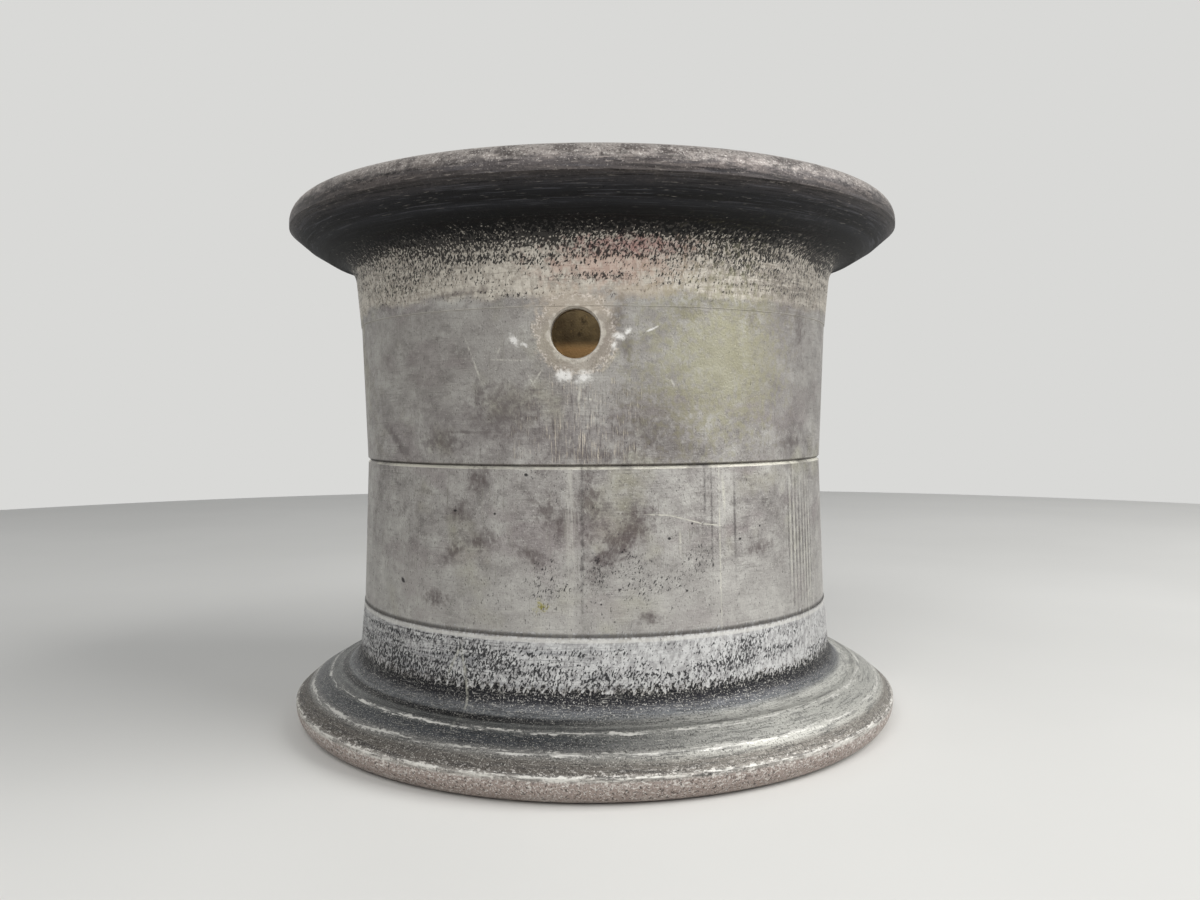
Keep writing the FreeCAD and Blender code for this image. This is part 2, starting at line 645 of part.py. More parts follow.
# ------------------------------------------------------------ tapered roller bearings
# Both races and all rollers share one apex on the axle, so the rollers roll without slip.
def race_radius(depth):
    """The cup's race at a depth."""
    return "(Places.apex_depth - (%s)) * tan(Dims.cup_race_angle)" % depth


def bearing_cup(side):
    return turned_piece(side + "_bearing_cup", [
        (race_radius("Places.cup_front_depth"), "Places.cup_front_depth"),
        ("Dims.cup_radius", "Places.cup_front_depth", "Dims.cup_chamfer"),
        ("Dims.cup_radius", "Places.cup_back_depth", "Dims.cup_chamfer"),
        (race_radius("Places.cup_back_depth"), "Places.cup_back_depth"),
    ])


def bearing_cone(side):
    return turned_piece(side + "_bearing_cone", [
        ("Dims.axle_radius", "Places.cone_back_depth", "Dims.cone_chamfer"),
        ("Dims.cone_rib_radius", "Places.cone_back_depth", "Dims.cone_chamfer"),
        ("Dims.cone_rib_radius", "Places.rib_top_depth"),
        ("Places.rib_foot_radius", "Places.rib_foot_depth"),
        ("Places.small_rib_foot_radius", "Places.small_rib_foot_depth"),
        ("Places.small_rib_radius", "Places.small_rib_top_depth"),
        ("Places.small_rib_radius", "Places.cone_front_depth"),
        ("Dims.axle_radius", "Places.cone_front_depth", "Dims.cone_chamfer"),
    ])


def roller_axis_point(reach, offset="0"):
    """Radius and depth of a point at a distance from the apex, and off the roller's axis."""
    return ("%s * sin(Places.roller_angle) + (%s) * cos(Places.roller_angle)" % (reach, offset),
            "Places.apex_depth - %s * cos(Places.roller_angle) + (%s) * sin(Places.roller_angle)"
            % (reach, offset))


def bearing_cage(side):
    """Pressed steel cage, with one pocket for each roller."""
    outside = race_radius("%s") + " - Dims.cage_gap"
    inside = outside + " - Dims.cage_thickness"
    front = "Places.cage_front_depth"
    back = "Places.cage_back_depth"
    turn_in = back + " - Dims.cage_thickness"
    body = turned_piece(side + "_bearing_cage", [
        (outside % front, front),
        (inside % front, front),
        (inside % turn_in, turn_in),
        ("Dims.cage_bore_radius", turn_in),
        ("Dims.cage_bore_radius", back),
        (outside % back, back),
    ])
    sketch = new_sketch(body, side + "_pocket_section", "XZ_Plane")
    near = roller_axis_point("Places.pocket_near")
    far = roller_axis_point("Places.pocket_far")
    axis = axis_line(sketch, near, far)
    wide = "%s * tan(Dims.roller_half_angle) + Dims.pocket_play"
    outline(sketch, [
        near,
        far,
        roller_axis_point("Places.pocket_far", wide % "Places.pocket_far"),
        roller_axis_point("Places.pocket_near", wide % "Places.pocket_near"),
    ])
    pocket = turned(body, "Groove", side + "_pocket", sketch, axis)
    around_axle(body, side + "_pockets", [pocket], "Dims.roller_count")
    return body


def rollers(side):
    """The tapered rollers, each with its own axis through the apex."""
    pieces = []
    tilt = math.radians(number("Places.roller_angle"))
    near = [number(expression) for expression in roller_axis_point("Places.roller_near")]
    count = round(number("Dims.roller_count"))
    for index in range(count):
        label = "%s_roller_%02d" % (side, index + 1)
        roller = doc.addObject("Part::Cone", label)
        roller.Label = label
        taper = " * tan(Dims.roller_half_angle) - Dims.roller_play"
        roller.setExpression("Radius1", "Places.roller_near" + taper)
        roller.setExpression("Radius2", "Places.roller_far" + taper)
        roller.setExpression("Height", "Dims.roller_length")
        around = 2 * math.pi * index / count
        outwards = FreeCAD.Vector(math.cos(around), math.sin(around), 0)
        along = outwards * math.sin(tilt) - FreeCAD.Vector(0, 0, math.cos(tilt))
        place = outwards * near[0] + FreeCAD.Vector(0, 0, near[1])
        turn = FreeCAD.Rotation(FreeCAD.Vector(0, 0, 1), along)
        roller.Placement = side_placement(side).multiply(FreeCAD.Placement(place, turn))
        pieces.append(roller)
    return pieces


# ----------------------------------------------------------------------- grease seals
def seal_ring(label, bore, depth, thickness):
    """A flat ring in the hub's counterbore."""
    edge = "Dims.seal_seat_radius - Dims.seal_play"
    return turned_piece(label, [
        (bore, depth),
        (edge, depth),
        (edge, "%s + %s" % (depth, thickness)),
        (bore, "%s + %s" % (depth, thickness)),
    ])


def snap_ring(side):
    """Internal retaining ring: an open ring with a lug and a pliers hole at each end."""
    label = side + "_snap_ring"
    body = new_body(label)

    def level_sketch(name):
        sketch = new_sketch(body, label + name, "XY_Plane")
        sketch.setExpression("AttachmentOffset.Base.z", "Places.snap_ring_depth")
        return sketch

    ring = level_sketch("_ring")
    circle(ring, "outside", "0", "0", "Places.snap_ring_radius")
    circle(ring, "inside", "0", "0", "Places.snap_ring_bore")
    extruded(body, "Pad", label + "_band", ring, "Dims.snap_ring_thickness")
    gap = level_sketch("_gap")
    half = "Dims.snap_ring_opening / 2"
    outline(gap, [
        (half, "Places.snap_ring_bore / 2"),
        (half, "Places.snap_ring_radius + 1"),
        ("-" + half, "Places.snap_ring_radius + 1"),
        ("-" + half, "Places.snap_ring_bore / 2"),
    ])
    extruded(body, "Pocket", label + "_opening", gap, "Dims.snap_ring_thickness", back=True)
    level = "sqrt(Places.snap_ring_bore ^ 2 - Places.snap_lug_across ^ 2)"
    for name, kind, radius in (("lug", "Pad", "Dims.snap_lug_radius"),
                               ("hole", "Pocket", "Dims.snap_lug_hole")):
        ends = level_sketch("_" + name)
        circle(ends, "right", "Places.snap_lug_across", level, radius)
        circle(ends, "left", "-Places.snap_lug_across", level, radius)
        extruded(body, kind, label + "_" + name + "s", ends, "Dims.snap_ring_thickness",
                 back=(kind == "Pocket"))
    return body


# --------------------------------------------------------------------------- assembly
pieces = [tie_bolts(), lock_nuts(), washers("head_washers", "Places.head_height"),
          washers("nut_washers", "Places.outboard_boss_height")]
for side in SIDES:
    sided = [
        wheel_half(side),
        bearing_cup(side),
        bearing_cone(side),
        bearing_cage(side),
        seal_ring(side + "_inner_retainer", "Dims.retainer_bore_radius",
                  "Places.inner_retainer_depth", "Dims.retainer_thickness"),
        seal_ring(side + "_seal_felt", "Dims.felt_bore_radius",
                  "Places.felt_depth", "Dims.felt_thickness"),
        seal_ring(side + "_outer_retainer", "Dims.retainer_bore_radius",
                  "Places.outer_retainer_depth", "Dims.retainer_thickness"),
        snap_ring(side),
    ]
    for piece in sided:
        seat(piece, side)
    pieces += sided + rollers(side)
doc.recompute()

# ----------------------------------------------------------------------------- checks
for item in doc.Objects:
    if "Invalid" in item.State or "Error" in item.State:
        raise RuntimeError("%s did not recompute: %s" % (item.Label, item.State))
for piece in pieces:
    if piece.Shape.isNull() or not piece.Shape.isValid() or not piece.Shape.Solids:
        raise RuntimeError("%s has no valid solid" % piece.Label)

os.makedirs("parts", exist_ok=True)
for piece in pieces:
    piece.Shape.exportStep("parts/%s.step" % piece.Label)
    print("%-26s %3d faces %10.1f mm3" % (piece.Label, len(piece.Shape.Faces), piece.Shape.Volume))
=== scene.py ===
import math
import bmesh
import bpy
from mathutils import Matrix, Vector


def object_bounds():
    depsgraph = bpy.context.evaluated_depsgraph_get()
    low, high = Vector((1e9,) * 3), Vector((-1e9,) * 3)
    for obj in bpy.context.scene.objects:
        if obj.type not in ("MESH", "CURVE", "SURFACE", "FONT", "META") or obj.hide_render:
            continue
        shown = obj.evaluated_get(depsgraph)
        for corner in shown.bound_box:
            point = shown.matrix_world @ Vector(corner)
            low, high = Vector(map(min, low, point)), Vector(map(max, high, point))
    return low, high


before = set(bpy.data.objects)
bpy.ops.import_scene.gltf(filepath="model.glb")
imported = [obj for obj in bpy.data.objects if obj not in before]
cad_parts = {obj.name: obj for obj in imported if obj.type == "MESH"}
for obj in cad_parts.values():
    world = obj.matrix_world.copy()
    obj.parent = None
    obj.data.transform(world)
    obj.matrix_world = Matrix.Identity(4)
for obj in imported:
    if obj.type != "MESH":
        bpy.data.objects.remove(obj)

cad_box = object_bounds()

# ------------------------------------------------------------------------ studio and camera
# A pale studio table of matt laminate, one soft box high on the right, a weaker one on the
# left, and a camera at wheel height, a little above the middle.
def linear(colour):
    """A written sRGB colour as linear red, green, blue and alpha."""
    parts = [int(colour[i:i + 2], 16) / 255 for i in (1, 3, 5)]
    return [p / 12.92 if p <= 0.04045 else ((p + 0.055) / 1.055) ** 2.4 for p in parts] + [1.0]


def add(tree, kind, settings, inputs):
    """One node with its settings, its fixed inputs and the nodes that feed it."""
    node = tree.nodes.new("ShaderNode" + kind)
    for name, value in settings.items():
        if name == "stops":
            ramp = node.color_ramp.elements
            while len(ramp) < len(value):
                ramp.new(0.5)
            for element, (place, colour) in zip(ramp, sorted(value)):
                element.position = place
                element.color = linear(colour)
        else:
            setattr(node, name, value)
    for name, value in inputs.items():
        if isinstance(name, int):
            socket = node.inputs[name]
        else:
            socket = next(s for s in node.inputs if s.enabled and s.name == name)
        if isinstance(value, bpy.types.Node):
            value = next(s for s in value.outputs if s.enabled)
        if isinstance(value, bpy.types.NodeSocket):
            tree.links.new(value, socket)
        else:
            socket.default_value = value
    return node


def new_material(name):
    material = bpy.data.materials.new(name)
    material.use_nodes = True
    material.node_tree.nodes.clear()
    return material, material.node_tree


table_radius = 0.94
bm = bmesh.new()
bmesh.ops.create_circle(bm, cap_ends=True, segments=180, radius=table_radius)
mesh = bpy.data.meshes.new("studio_table")
bm.to_mesh(mesh)
bm.free()
table = bpy.data.objects.new("studio_table", mesh)
bpy.context.scene.collection.objects.link(table)

# matt laminate: an even, pale surface with faint clouds of 240 mm and a grain of 1.2 mm
laminate, tree = new_material("matt_laminate")
place = add(tree, "TexCoord", {}, {}).outputs["Object"]
cloud = add(tree, "TexNoise", {}, {"Vector": place, "Scale": 1000 / 240, "Detail": 3.0})
tone = add(tree, "ValToRGB", {"stops": [(0.35, "#D9D8D4"), (0.65, "#DFDEDA")]}, {"Fac": cloud})
grain = add(tree, "TexNoise", {}, {"Vector": place, "Scale": 1000 / 1.2, "Detail": 2.0})
bump = add(tree, "Bump", {}, {"Strength": 0.1, "Distance": 0.0001, "Height": grain})
surface = add(tree, "BsdfPrincipled", {}, {"Base Color": tone, "Roughness": 0.62, "Normal": bump})
add(tree, "OutputMaterial", {}, {"Surface": surface})
mesh.materials.append(laminate)

# the room lights evenly and weakly; where it is looked at, also in the metal, it is a pale wall
world = bpy.data.worlds.new("studio")
world.use_nodes = True
world.node_tree.nodes.clear()
seen = add(world.node_tree, "LightPath", {}, {})
wall = seen.outputs["Is Camera Ray"]
for ray in ("Is Glossy Ray", "Is Transmission Ray"):
    wall = add(world.node_tree, "Math", {"operation": "MAXIMUM"}, {0: wall, 1: seen.outputs[ray]})
room = add(world.node_tree, "Mix", {"data_type": "RGBA"},
           {"Factor": wall, "A": linear("#77797C"), "B": linear("#D9D9D7")})
room = add(world.node_tree, "Background", {}, {"Color": room, "Strength": 1.0})
add(world.node_tree, "OutputWorld", {}, {"Surface": room})
bpy.context.scene.world = world

wheel_width = cad_box[1][2] - cad_box[0][2]
for name, place, size, watts in (("key_box", (1.05, -0.32, 0.85), 1.0, 17.0),
                                 ("front_box", (-0.2, -0.95, 0.85), 0.7, 8.0)):
    light = bpy.data.lights.new(name, "AREA")
    light.shape = "SQUARE"
    light.size = size
    light.energy = watts
    lamp = bpy.data.objects.new(name, light)
    aim = (Vector((0, 0, wheel_width / 2)) - Vector(place)).to_track_quat("-Z", "Y")
    lamp.matrix_world = Matrix.Translation(place) @ aim.to_matrix().to_4x4()
    bpy.context.scene.collection.objects.link(lamp)

camera_distance = 0.3214
camera_height = 0.09265
camera_side = math.radians(3.58)       # it stands a little to the right
camera_turn = math.radians(0.3586)     # and looks a little past the axle
camera_drop = math.radians(1.84)
camera_roll = math.radians(-0.3037)
camera = bpy.data.objects.new("camera", bpy.data.cameras.new("camera"))
camera.data.sensor_width = 36.0
camera.data.lens = 29.1
camera.data.clip_start = 0.01
stand = Matrix.Translation((camera_distance * math.sin(camera_side),
                            -camera_distance * math.cos(camera_side), camera_height))
camera.matrix_world = (stand @ Matrix.Rotation(camera_side - camera_turn, 4, "Z")
                       @ Matrix.Rotation(math.radians(90) - camera_drop, 4, "X")
                       @ Matrix.Rotation(camera_roll, 4, "Z"))
bpy.context.scene.collection.objects.link(camera)
bpy.context.scene.camera = camera
bpy.context.scene.view_settings.view_transform = "Standard"

# ------------------------------------------------------------------------ inboard half
# Lower half of the wheel: one sand-cast magnesium piece with flange, bead seat, barrel, web
# and hub, machined on the seat, the joint and the bores. Its old paint is worn through to
# oxidised metal, and tyre rubber stays baked on in the heel of the seat.
full_height = wheel_width * 1000     # from here on, lengths are in mm, but for a bump's distance
arc_radius = 73.0      # the barrel's mean radius, where marks are laid out round the wheel
joint_height = 80.4    # the joint of the two halves, above the lip that the wheel stands on
seat_step = 36.6       # the machined step that ends a bead seat, from the lip of its own half
heel_radius = 75.0     # just inside the flange, at the heel of the bead seat
lip_radius = 96.0      # just outside the lip of the flange
from_start = (-2.0, -1.0)            # a rise below every height and radius: only the fall counts


def wheel_coordinates(tree):
    """Object coordinates in mm, and layouts that follow the barrel and the turned surfaces."""
    place = add(tree, "TexCoord", {}, {}).outputs["Object"]
    mm = add(tree, "VectorMath", {"operation": "SCALE"}, {0: place, "Scale": 1000.0})
    axes = add(tree, "SeparateXYZ", {}, {"Vector": mm})
    flat = add(tree, "VectorMath", {"operation": "MULTIPLY"}, {0: mm, 1: (1.0, 1.0, 0.0)})
    radius = add(tree, "VectorMath", {"operation": "LENGTH"}, {0: flat})
    # flat layout of the barrel: arc from the front, height, and a 1 for the offset of a mark
    front = add(tree, "Math", {"operation": "MULTIPLY"}, {0: axes.outputs["Y"], 1: -1.0})
    angle = add(tree, "Math", {"operation": "ARCTAN2"}, {0: axes.outputs["X"], 1: front})
    arc = add(tree, "Math", {"operation": "MULTIPLY"}, {0: angle, 1: arc_radius})
    layout = add(tree, "CombineXYZ", {}, {"X": arc, "Y": axes.outputs["Z"], "Z": 1.0})
    # turned marks follow the wheel round, at one distance across its profile
    middle = add(tree, "Math", {"operation": "SUBTRACT"}, {0: axes.outputs["Z"], 1: full_height / 2})
    middle = add(tree, "Math", {"operation": "ABSOLUTE"}, {0: middle})
    profile = add(tree, "Math", {"operation": "ADD"}, {0: middle, 1: radius})
    profile = add(tree, "CombineXYZ", {}, {"Z": profile})
    around = add(tree, "VectorMath", {"operation": "NORMALIZE"}, {0: flat})
    # specks dragged aside by the tyre lean over by a quarter of their height
    lean = add(tree, "Math", {"operation": "MULTIPLY_ADD"},
               {0: axes.outputs["Z"], 1: -0.25, 2: axes.outputs["X"]})
    leaning = add(tree, "CombineXYZ", {},
                  {"X": lean, "Y": axes.outputs["Y"], "Z": axes.outputs["Z"]})
    here = {"mm": mm, "x": axes.outputs["X"], "z": axes.outputs["Z"], "radius": radius,
            "layout": layout}
    # each grain is the same noise in coordinates squeezed along the way it runs
    for name, base, squeeze in (("tall", mm, (1, 1, 0.5)), ("wide", mm, (0.5, 0.5, 1)),
                                ("run", mm, (1, 1, 0.045)), ("leaning", leaning, (1, 1, 0.55))):
        here[name] = add(tree, "VectorMath", {"operation": "MULTIPLY"}, {0: base, 1: squeeze})
    for name, length in (("dashed", 6.0), ("long", 15.0)):
        here[name] = add(tree, "VectorMath", {"operation": "MULTIPLY_ADD"},
                         {0: around, 1: (arc_radius / length, arc_radius / length, 0.0), 2: profile})
    return here


def patches(tree, space, size, start, end, detail=4.0, thicker=None):
    """Mask of irregular patches of a size, and thicker where a pair (mask, amount) asks for it."""
    cloud = add(tree, "TexNoise", {},
                {"Vector": space, "Scale": 1.0 / size, "Detail": detail, "Roughness": 0.6})
    if thicker:
        cloud = add(tree, "Math", {"operation": "MULTIPLY_ADD"},
                    {0: thicker[0], 1: thicker[1], 2: cloud})
    return add(tree, "MapRange", {"interpolation_type": "SMOOTHSTEP"},
               {"Value": cloud, "From Min": start, "From Max": end})


def wandering(tree, value, space, size, amount):
    """A length moved up and down by as much as an amount, which makes a ragged edge."""
    ripple = patches(tree, space, size, 0.3, 0.7)
    half = add(tree, "Math", {"operation": "SUBTRACT"}, {0: ripple, 1: 0.5})
    return add(tree, "Math", {"operation": "MULTIPLY_ADD"}, {0: half, 1: 2.0 * amount, 2: value})


def band(tree, value, rise, fall):
    """Mask that is 1 between the rise and the fall, each a pair of lengths."""
    up = add(tree, "MapRange", {"interpolation_type": "SMOOTHSTEP"},
             {"Value": value, "From Min": rise[0], "From Max": rise[1]})
    down = add(tree, "MapRange", {"interpolation_type": "SMOOTHSTEP"},
               {"Value": value, "From Min": fall[0], "From Max": fall[1],
                "To Min": 1.0, "To Max": 0.0})
    return add(tree, "Math", {"operation": "MULTIPLY"}, {0: up, 1: down})


def marks(tree, here, places, ragged, edge):
    """Mask of single marks, each (arc, height, half length, half width, tilt in degrees)."""
    nearest = 9.0      # in half sizes of a mark, so that 1 is on its edge
    for arc, height, length, width, tilt in places:
        c, s = math.cos(math.radians(tilt)), math.sin(math.radians(tilt))
        along = (c / length, s / length, -(arc * c + height * s) / length)
        along = add(tree, "VectorMath", {"operation": "DOT_PRODUCT"}, {0: here["layout"], 1: along})
        across = (-s / width, c / width, (arc * s - height * c) / width)
        across = add(tree, "VectorMath", {"operation": "DOT_PRODUCT"},
                     {0: here["layout"], 1: across})
        away = add(tree, "CombineXYZ", {}, {"X": along, "Y": across})
        away = add(tree, "VectorMath", {"operation": "LENGTH"}, {0: away})
        nearest = add(tree, "Math", {"operation": "MINIMUM"}, {0: nearest, 1: away})
    rough = wandering(tree, nearest, here["mm"], 1.8, ragged)
    return add(tree, "MapRange", {"interpolation_type": "SMOOTHSTEP"},
               {"Value": rough, "From Min": 1.0 + edge, "From Max": 1.0 - edge})


def lay(tree, under, over, *masks):
    """A colour or a value laid over another as far as all the masks let it."""
    amount = masks[0]
    for mask in masks[1:]:
        amount = add(tree, "Math", {"operation": "MULTIPLY"}, {0: amount, 1: mask})
    kind = "FLOAT" if isinstance(over, float) else "RGBA"
    over = linear(over) if isinstance(over, str) else over
    return add(tree, "Mix", {"data_type": kind}, {"Factor": amount, "A": under, "B": over})


def oxidised_metal(tree, here):
    """Colour of bare magnesium gone dull: cloudy, brushed round the wheel, run down in streaks."""
    cloud = add(tree, "TexNoise", {},
                {"Vector": here["mm"], "Scale": 0.11, "Detail": 8.0, "Roughness": 0.68})
    oxide = [(0.30, "#76726F"), (0.43, "#928E8B"), (0.55, "#A3A09C"), (0.70, "#B8B6B1")]
    colour = add(tree, "ValToRGB", {"stops": oxide}, {"Fac": cloud})
    run_down = patches(tree, here["tall"], 16, 0.42, 0.58, 2)
    brushed = add(tree, "Math", {"operation": "SUBTRACT"}, {0: 1.0, 1: run_down})
    # broad tints, streaks where it has run down, brush marks elsewhere, and fine specks
    for tint, space, size, start, end, amount, where in (
            ("#9B9882", "mm", 24, 0.52, 0.66, 0.45, 1.0),
            ("#83797A", "wide", 15, 0.53, 0.65, 0.46, 1.0),
            ("#6E6967", "wide", 2.8, 0.52, 0.66, 0.42, 1.0),
            ("#C2C0BA", "mm", 2.2, 0.55, 0.68, 0.28, 1.0),
            ("#C6C3BA", "run", 0.50, 0.54, 0.68, 0.40, run_down),
            ("#4E4A48", "run", 0.50, 0.56, 0.70, 0.55, run_down),
            ("#585452", "long", 0.45, 0.54, 0.70, 0.42, brushed),
            ("#C4C1B9", "long", 0.42, 0.57, 0.70, 0.32, brushed),
            ("#464241", "tall", 0.40, 0.56, 0.70, 0.60, 1.0),
            ("#D3D1CA", "mm", 0.36, 0.58, 0.72, 0.50, 1.0)):
        grains = patches(tree, here[space], size, start, end, 3)
        colour = lay(tree, colour, tint, grains, amount, where)
    return colour


def speckled(tree, here, colour, where, specks):
    """A colour with specks strewn over it, each kind (colour, layout, size, start, amount)."""
    for tint, space, size, start, amount in specks:
        grains = patches(tree, here[space], size, start, start + 0.12, 3)
        colour = lay(tree, colour, tint, grains, amount, where)
    return colour


def inside_of_casting(tree, here, colour):
    """Chromate brown of the unpainted inside, and the bright bores and hub ends turned in it."""
    brown = lay(tree, linear("#6E5F48"), "#8C7A5A", patches(tree, here["mm"], 8, 0.35, 0.65))
    brown = speckled(tree, here, brown, 1.0, (("#4B4031", "mm", 3.0, 0.56, 0.8),
                                              ("#A58C5C", "mm", 1.2, 0.60, 0.5)))
    within_wall = band(tree, here["radius"], from_start, (70.6, 71.0))
    colour = lay(tree, colour, brown, within_wall)
    metal = lay(tree, linear("#8E8C88"), "#A9A7A2", patches(tree, here["long"], 0.5, 0.4, 0.6))
    within_hub = band(tree, here["radius"], from_start, (35.2, 35.5))
    return lay(tree, colour, metal, within_hub)


def flange_tones(tree, here, tones):
    """Colours across the flange, each (radius in mm, colour), from its heel out to its lip."""
    along = add(tree, "MapRange", {},
                {"Value": here["radius"], "From Min": heel_radius, "From Max": lip_radius})
    stops = [((radius - heel_radius) / (lip_radius - heel_radius), tint) for radius, tint in tones]
    return add(tree, "ValToRGB", {"stops": stops}, {"Fac": along})


def marked(tree, here, colour, tint, amount, places, ragged, edge, *grain):
    """A colour with marks of a tint laid over it, broken up by patches where a grain is given."""
    masks = [marks(tree, here, places, ragged, edge)]
    if grain:
        masks.append(patches(tree, here[grain[0]], *grain[1:]))
    return lay(tree, colour, tint, *masks, amount)


def cast_surface(tree, colour, height, rough, dull):
    """Magnesium under thin oxide: mostly metallic, but not at all under rubber, paint or crust."""
    bump = add(tree, "Bump", {}, {"Strength": 0.4, "Distance": 0.00012, "Height": height})
    metal = lay(tree, 0.7, 0.0, dull)
    return add(tree, "BsdfPrincipled", {},
               {"Base Color": colour, "Metallic": metal, "Roughness": rough, "Normal": bump,
                "Specular IOR Level": 0.25})


def dress(material, surface, nodes):
    """End a material with its surface and put it on pieces of the model."""
    add(material.node_tree, "OutputMaterial", {}, {"Surface": surface})
    for node in nodes:
        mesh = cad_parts[node].data
        mesh.materials.clear()
        mesh.materials.append(material)


# old magnesium casting: soft grey-beige oxide, nearly matt, with brighter rubbed edges
material, tree = new_material("oxidised_cast_magnesium_inboard")
here = wheel_coordinates(tree)
# a ramp from left to right across the wheel: painted light on the right, and on the left painted
# shade along with grime
lit_right_side = add(tree, "MapRange", {"interpolation_type": "SMOOTHSTEP"},
                {"Value": here["x"], "From Min": -35.0, "From Max": 55.0})
shade_and_grime_left = add(tree, "Math", {"operation": "SUBTRACT"}, {0: 1.0, 1: lit_right_side})
colour = oxidised_metal(tree, here)
level = wandering(tree, here["z"], here["leaning"], 0.8, 1.7)
calm = wandering(tree, here["z"], here["wide"], 9, 0.5)

# the lower part of the barrel is rubbed paler
colour = lay(tree, colour, "#BDBBB6", band(tree, calm, (36, 37), (44, 64)), 0.32)
# bead seat: rubbed whitish metal with black specks of rubber that lean over
pale = lay(tree, linear("#CCCCCB"), "#A8A7A7", patches(tree, here["leaning"], 1.3, 0.42, 0.60))
pale = speckled(tree, here, pale, shade_and_grime_left, (("#6B6B6E", "long", 0.5, 0.52, 0.7),
                                               ("#8A8B8E", "long", 1.6, 0.52, 0.6)))
seat = band(tree, level, (22.8, 24.0), (seat_step - 0.3, seat_step + 0.1))
colour = lay(tree, colour, pale, seat, 0.88)
clusters = patches(tree, here["dashed"], 4.5, 0.36, 0.66, 3)
clusters = add(tree, "Math", {"operation": "MULTIPLY_ADD"}, {0: shade_and_grime_left, 1: 0.35, 2: clusters})
rubber = patches(tree, here["leaning"], 0.50, 0.61, 0.665, 3, (clusters, 0.13))
rubber = add(tree, "Math", {"operation": "MULTIPLY"},
             {0: rubber, 1: band(tree, calm, (22, 24), (33.2, 35.6))})
# and where the tyre's bead was pressed hardest, patches and rows of it
seat_marks = marks(tree, here, [
    (47, 30.6, 6.0, 3.6, 20), (-24.3, 30.6, 5.5, 2.6, -15), (-29, 32.2, 2.6, 1.0, 0),
    (1.4, 31.9, 2.6, 1.2, 0), (-48, 33.1, 15, 0.8, 0), (-44, 27.2, 22, 1.0, 0),
    (-60, 30.5, 5, 2.4, 0), (60, 29.0, 7, 1.0, 0), (-52, 29.4, 16, 0.35, 0),
    (-38, 34.6, 18, 0.3, 0)], 0.8, 0.8)
clotted = patches(tree, here["leaning"], 0.5, 0.44, 0.52, 3)
seat_marks = add(tree, "Math", {"operation": "MULTIPLY"}, {0: seat_marks, 1: clotted})
rubber = add(tree, "Math", {"operation": "MAXIMUM"}, {0: rubber, 1: seat_marks})
colour = lay(tree, colour, "#131316", rubber, 0.93)
# machined step of the seat: a line of painted shade over a painted highlight
shaded = band(tree, here["z"], (seat_step - 0.4, seat_step - 0.1),
              (seat_step + 0.3, seat_step + 1.2))
colour = lay(tree, colour, "#45423F", shaded, 0.75)
shining = band(tree, here["z"], (seat_step - 1.7, seat_step - 1.3),
               (seat_step - 0.7, seat_step - 0.4))
colour = lay(tree, colour, "#CFCDC8", shining, 0.6)
# broken edge at the joint, rubbed bright
edge = band(tree, here["z"], (joint_height - 0.9, joint_height - 0.6),
            (joint_height + 0.1, joint_height + 0.6))
colour = lay(tree, colour, "#E2DFD2", edge, patches(tree, here["long"], 1.2, 0.38, 0.52), 0.85)

# flange, from the heel out to the lip
outward = flange_tones(tree, here, [
    (75.6, "#1C1C1F"), (76.4, "#222226"), (77.3, "#56575A"), (78.6, "#6A6C6E"),
    (79.8, "#686A6C"), (81.2, "#707270"), (83.4, "#5C5E5D"), (84.4, "#70716F"),
    (86.0, "#3E4144"), (88.4, "#4B4D50"), (90.4, "#807F7C"), (92.0, "#625E59"),
    (94.2, "#5D5853"), (95.3, "#A6A29C")])
# the flange gets painted light on the right, and a painted highlight in the fillet there; in the
# fillet on the left lies a painted dark reflection
lit_flange_right = add(tree, "MapRange", {"interpolation_type": "SMOOTHSTEP"},
                  {"Value": here["x"], "From Min": -12.0, "From Max": 60.0})
for tint, where, rise, fall, amount in (
        ("#CCCBC3", lit_flange_right, (78, 80), (91.5, 93), 0.70),
        ("#ABA69D", lit_flange_right, (91.5, 93), (94.5, 95.5), 0.36),
        ("#DAD9D2", lit_right_side, (79, 80), (81.5, 82.7), 0.42),
        ("#131315", shade_and_grime_left, (78.9, 79.8), (80.8, 82.0), 0.95)):
    outward = lay(tree, outward, tint, where, band(tree, here["radius"], rise, fall), amount)
outward = speckled(tree, here, outward, 1.0, (
    ("#2A2B2F", "dashed", 1.3, 0.50, 0.42), ("#2A2A2C", "long", 0.40, 0.54, 0.42),
    ("#B9B7B0", "dashed", 0.36, 0.56, 0.36), ("#2A2828", "mm", 0.55, 0.53, 0.66),
    ("#C9C6BF", "mm", 0.42, 0.56, 0.60), ("#1E1D1D", "mm", 0.38, 0.60, 0.80)))
# edges rubbed bright: broken lines along the knee, the bead and the lip
rubbed = patches(tree, here["dashed"], 1.2, 0.44, 0.58, 6)
for place, width, amount in ((84.8, 0.55, 0.80), (90.3, 0.62, 0.66), (95.2, 0.5, 0.8)):
    line = band(tree, wandering(tree, here["radius"], here["wide"], 0.9, 0.4),
                (place - width, place - 0.4 * width), (place + 0.4 * width, place + width))
    outward = lay(tree, outward, "#DEDCD6", line, rubbed, amount)
# lip: reddish brown, salted with white and black
lip = speckled(tree, here, linear("#9C8F88"), 1.0, (
    ("#AAA09A", "dashed", 1.0, 0.48, 0.60), ("#3B3533", "mm", 0.80, 0.53, 0.80),
    ("#DCD8D3", "mm", 0.50, 0.53, 0.85), ("#2B2727", "mm", 0.40, 0.58, 0.70)))
outward = lay(tree, outward, lip, band(tree, here["z"], (-1.0, -0.5), (6.2, 7.2)), 0.95)
outward = lay(tree, outward, "#DEDAD4", patches(tree, here["wide"], 0.7, 0.54, 0.64),
              band(tree, here["z"], (4.2, 5.5), (8.0, 9.5)), 0.75)
flanged = band(tree, level, from_start, (22.6, 23.4))
colour = lay(tree, colour, outward, flanged)

